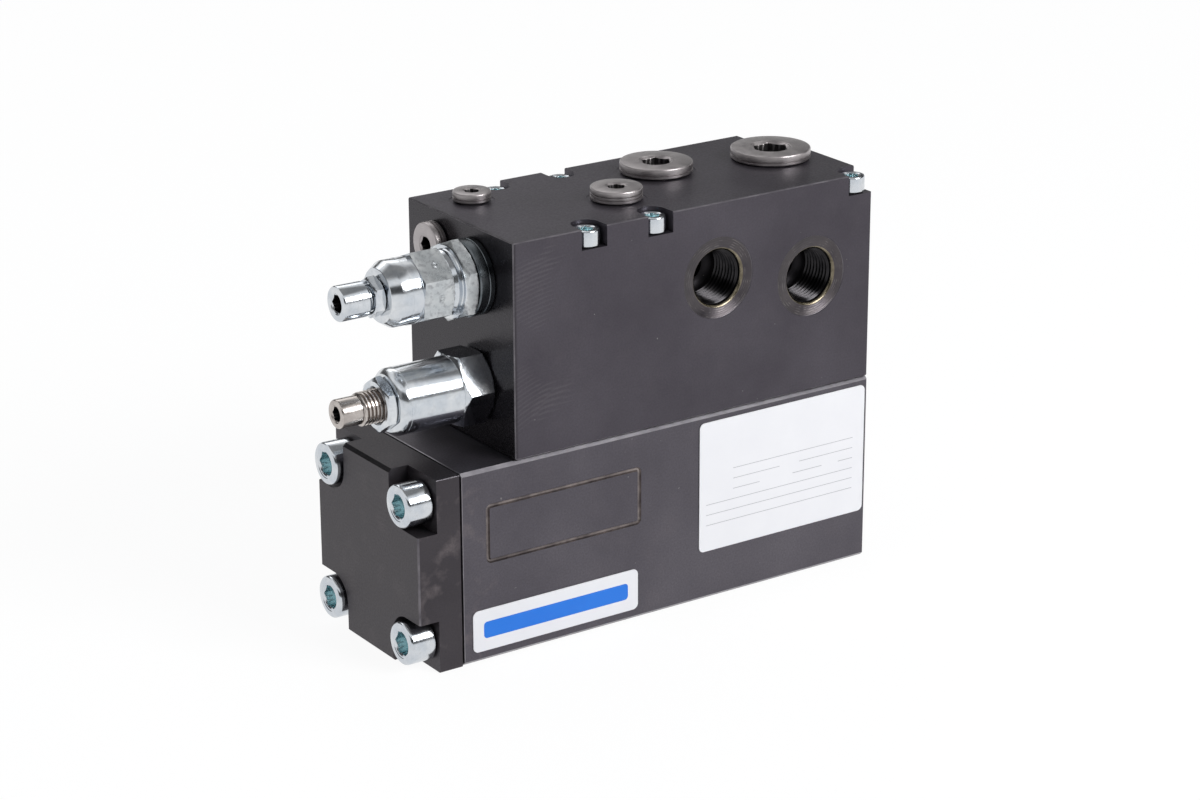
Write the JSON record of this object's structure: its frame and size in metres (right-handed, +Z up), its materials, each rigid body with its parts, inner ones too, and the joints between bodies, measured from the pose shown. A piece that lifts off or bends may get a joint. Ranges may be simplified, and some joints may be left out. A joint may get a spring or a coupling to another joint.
{
  "type": "hydraulic pressure intensifier",
  "caption": "Block hydraulic intensifier: a cylinder section with a bolted end cover under a valve manifold with screw-in valves, plugs and threaded ports.",
  "frame": {"origin": "middle of the cylinder section's underside, on base_face", "axes": "+X along the cylinder from the end cover to the plain end, -Y the front with the two inlet ports, +Z up"},
  "size_m": [0.2172, 0.0704, 0.159],
  "materials": {
    "black_steel": "blackened steel, satin",
    "zinc_steel": "bright zinc plate",
    "machined_steel": "turned steel, oiled",
    "dark_steel": "hardened dark steel",
    "seal_rubber": "nitrile rubber",
    "white_film": "white printed film"
  },
  "bodies": {
    "root": {"cylinder_block": "black_steel", "end_cover": "black_steel", "manifold_block": "black_steel", "end_cover_screw_1": "zinc_steel", "end_cover_screw_2": "zinc_steel", "end_cover_screw_3": "zinc_steel", "end_cover_screw_4": "zinc_steel", "manifold_screw_1": "zinc_steel", "manifold_screw_2": "zinc_steel", "manifold_screw_3": "zinc_steel", "manifold_screw_4": "zinc_steel", "manifold_screw_5": "zinc_steel", "manifold_screw_6": "zinc_steel", "relief_valve_body": "zinc_steel", "relief_spring": "zinc_steel", "sequence_valve_body": "zinc_steel", "sequence_spring": "zinc_steel", "left_check_spring": "zinc_steel", "right_check_spring": "zinc_steel", "spool_spring": "zinc_steel", "dump_spring": "zinc_steel", "top_plug_large": "machined_steel", "top_plug_medium": "machined_steel", "top_plug_small": "machined_steel", "top_plug_mini": "machined_steel", "end_plug": "machined_steel", "left_check_seat": "machined_steel", "right_check_seat": "machined_steel", "dump_seat": "machined_steel", "relief_valve_collar": "dark_steel", "left_gland": "dark_steel", "right_gland": "dark_steel", "relief_valve_cage": "dark_steel", "sequence_valve_cage": "dark_steel", "end_cover_seal": "seal_rubber", "left_plunger_seal": "seal_rubber", "right_plunger_seal": "seal_rubber", "left_check_seal": "seal_rubber", "right_check_seal": "seal_rubber", "relief_valve_seal": "seal_rubber", "sequence_valve_seal": "seal_rubber", "data_plate": "white_film", "front_label": "white_film"},
    "piston": {"intensifier_piston": "machined_steel", "piston_seal": "seal_rubber"},
    "left_check_ball": {"left_check_ball": "zinc_steel"},
    "right_check_ball": {"right_check_ball": "zinc_steel"},
    "spool": {"directional_spool": "machined_steel"},
    "dump_poppet": {"dump_poppet": "machined_steel"},
    "dump_pilot": {"dump_pilot_piston": "machined_steel"},
    "relief_carriage": {"relief_spring_seat": "dark_steel"},
    "relief_screw": {"relief_adjusting_screw": "zinc_steel"},
    "relief_nut": {"relief_lock_nut": "zinc_steel"},
    "relief_poppet": {"relief_poppet": "dark_steel"},
    "sequence_carriage": {"sequence_spring_seat": "dark_steel"},
    "sequence_screw": {"sequence_adjusting_screw": "zinc_steel"},
    "sequence_nut": {"sequence_lock_nut": "zinc_steel"},
    "sequence_poppet": {"sequence_poppet": "dark_steel"}
  },
  "joints": [
    {"name": "piston_stroke", "type": "slide", "parent": "root", "child": "piston", "axis": [1, 0, 0], "range_m": [-0.015, 0.015]},
    {"name": "spool_shift", "type": "slide", "parent": "root", "child": "spool", "axis": [0, 0, 1], "range_m": [-0.008, 0], "stiffness_N_per_m": 800, "springref_m": 0.005, "deforming": ["spool_spring"]},
    {"name": "dump_pilot_lift", "type": "slide", "parent": "root", "child": "dump_pilot", "axis": [0, 0, 1], "range_m": [0, 0.002]},
    {"name": "dump_poppet_lift", "type": "slide", "parent": "root", "child": "dump_poppet", "axis": [0, 0, 1], "range_m": [0, 0.002], "stiffness_N_per_m": 1000, "springref_m": -0.003, "deforming": ["dump_spring"]},
    {"name": "left_check_lift", "type": "slide", "parent": "root", "child": "left_check_ball", "axis": [0, 0, 1], "range_m": [0, 0.001], "stiffness_N_per_m": 300, "springref_m": -0.001, "deforming": ["left_check_spring"]},
    {"name": "right_check_lift", "type": "slide", "parent": "root", "child": "right_check_ball", "axis": [0, 0, 1], "range_m": [0, 0.001], "stiffness_N_per_m": 300, "springref_m": -0.001, "deforming": ["right_check_spring"]},
    {"name": "relief_screw_turn", "type": "hinge", "parent": "relief_carriage", "child": "relief_screw", "pos_m": [-0.104, -0.0101, 0.136], "axis": [-1, 0, 0], "range_deg": [-361, 1081]},
    {"name": "relief_screw_travel", "type": "slide", "parent": "root", "child": "relief_carriage", "axis": [-1, 0, 0], "range_m": [-0.00125, 0.00375], "deforming": ["relief_spring"]},
    {"name": "relief_lock_nut_turn", "type": "hinge", "parent": "root", "child": "relief_nut", "pos_m": [-0.104, -0.0101, 0.136], "axis": [-1, 0, 0], "range_deg": [0, 60]},
    {"name": "relief_poppet_lift", "type": "slide", "parent": "root", "child": "relief_poppet", "axis": [-1, 0, 0], "range_m": [0, 0.002], "stiffness_N_per_m": 4000, "springref_m": -0.003, "deforming": ["relief_spring"]},
    {"name": "sequence_screw_turn", "type": "hinge", "parent": "sequence_carriage", "child": "sequence_screw", "pos_m": [-0.104, -0.0101, 0.0959], "axis": [-1, 0, 0], "range_deg": [-1081, 1081]},
    {"name": "sequence_screw_travel", "type": "slide", "parent": "root", "child": "sequence_carriage", "axis": [-1, 0, 0], "range_m": [-0.0045, 0.0045], "deforming": ["sequence_spring"]},
    {"name": "sequence_lock_nut_turn", "type": "hinge", "parent": "root", "child": "sequence_nut", "pos_m": [-0.104, -0.0101, 0.0959], "axis": [-1, 0, 0], "range_deg": [0, 60]},
    {"name": "sequence_poppet_lift", "type": "slide", "parent": "root", "child": "sequence_poppet", "axis": [-1, 0, 0], "range_m": [0, 0.002], "stiffness_N_per_m": 4000, "springref_m": -0.003, "deforming": ["sequence_spring"]}
  ],
  "couplings": [
    {"joint": "dump_poppet_lift", "follows": "dump_pilot_lift", "ratio": 1},
    {"joint": "relief_screw_turn", "follows": "relief_screw_travel", "rad_per_m": 5026.5},
    {"joint": "sequence_screw_turn", "follows": "sequence_screw_travel", "rad_per_m": 4188.8}
  ]
}
